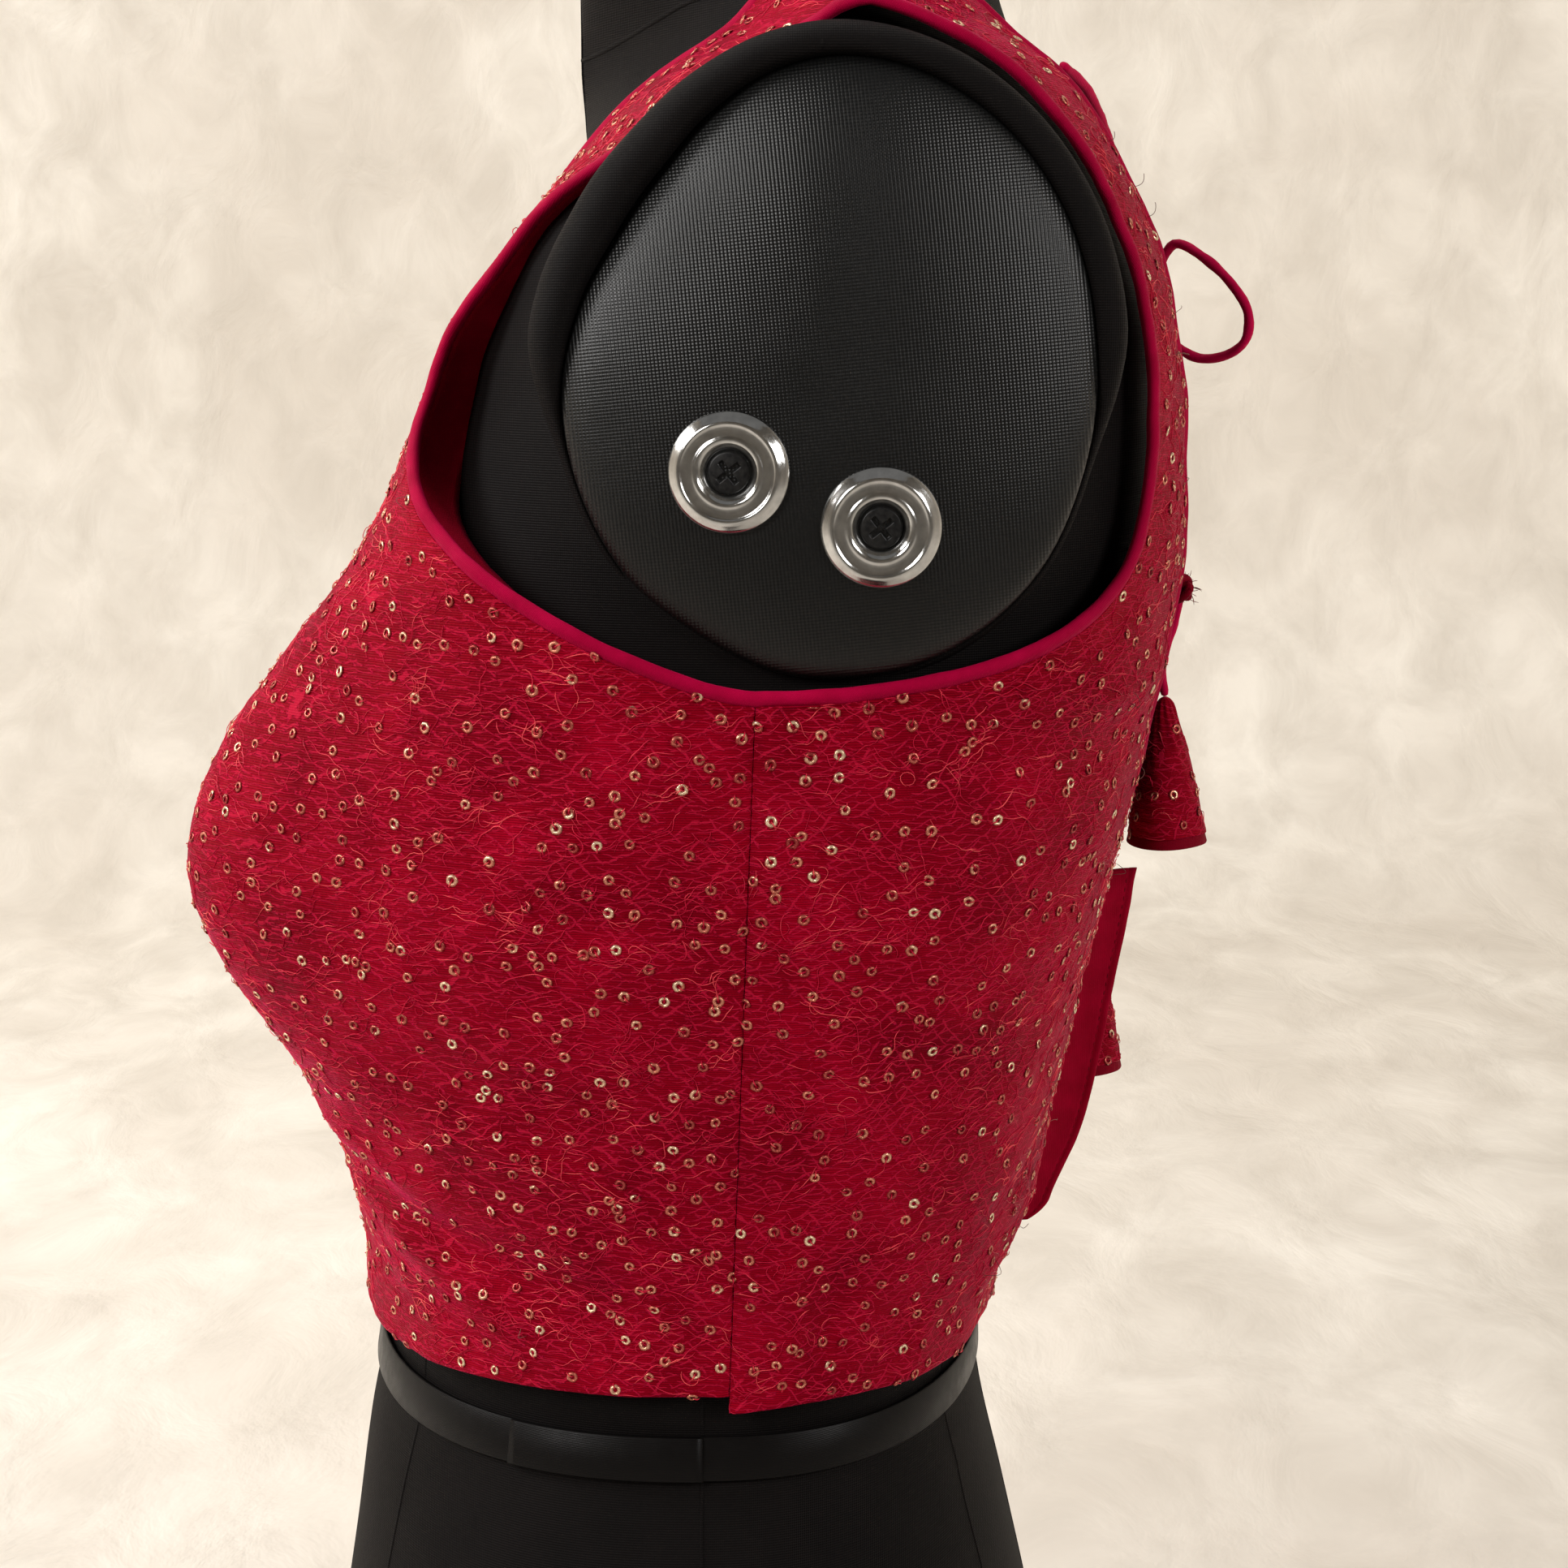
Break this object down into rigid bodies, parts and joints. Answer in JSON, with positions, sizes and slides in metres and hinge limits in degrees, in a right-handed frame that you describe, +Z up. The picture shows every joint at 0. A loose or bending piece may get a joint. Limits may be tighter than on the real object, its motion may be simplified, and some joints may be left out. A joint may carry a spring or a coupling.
{
  "type": "choli blouse on a torso form",
  "caption": "Short sleeveless choli blouse in crimson embroidered net with a tied open back, worn on a plain limbless tailor's torso form that stands on its flat base.",
  "frame": {"origin": "on the flat base, straight under the middle of the neck opening's width", "axes": "+Z up the form, -Y out of the front of the blouse, +X to the wearer's left"},
  "size_m": [0.3336, 0.295, 0.705],
  "materials": {
    "crimson_brocade": "embroidered net over lining",
    "crimson_binding": "plain woven",
    "dark_crimson_band": "plain woven, dark",
    "crimson_cord": "covered cord",
    "black_form_cover": "matt knit",
    "black_knit_plate": "ribbed knit",
    "black_waist_tape": "smooth tape",
    "polished_steel": "polished",
    "black_screw": "black, semi-gloss"
  },
  "bodies": {
    "root": {"front": "crimson_brocade", "back_left": "crimson_brocade", "back_right": "crimson_brocade", "latkan_left": "crimson_brocade", "latkan_right": "crimson_brocade", "armhole_binding_left": "crimson_binding", "armhole_binding_right": "crimson_binding", "neck_binding": "crimson_binding", "back_placket": "crimson_binding", "latkan_band_left": "dark_crimson_band", "latkan_band_right": "dark_crimson_band", "latkan_knot_left": "dark_crimson_band", "latkan_knot_right": "dark_crimson_band", "dori_left": "crimson_cord", "dori_right": "crimson_cord", "dori_knot": "crimson_cord", "bow_loop_left": "crimson_cord", "bow_loop_right": "crimson_cord", "dori_tail_left": "crimson_cord", "dori_tail_right": "crimson_cord", "latkan_string_left": "crimson_cord", "latkan_string_right": "crimson_cord", "form_torso": "black_form_cover", "arm_plate_left": "black_knit_plate", "arm_plate_right": "black_knit_plate", "waist_tape": "black_waist_tape", "socket_ring_left_front": "polished_steel", "socket_ring_left_back": "polished_steel", "socket_ring_right_front": "polished_steel", "socket_ring_right_back": "polished_steel", "socket_screw_left_front": "black_screw", "socket_screw_left_back": "black_screw", "socket_screw_right_front": "black_screw", "socket_screw_right_back": "black_screw"}
  },
  "joints": []
}
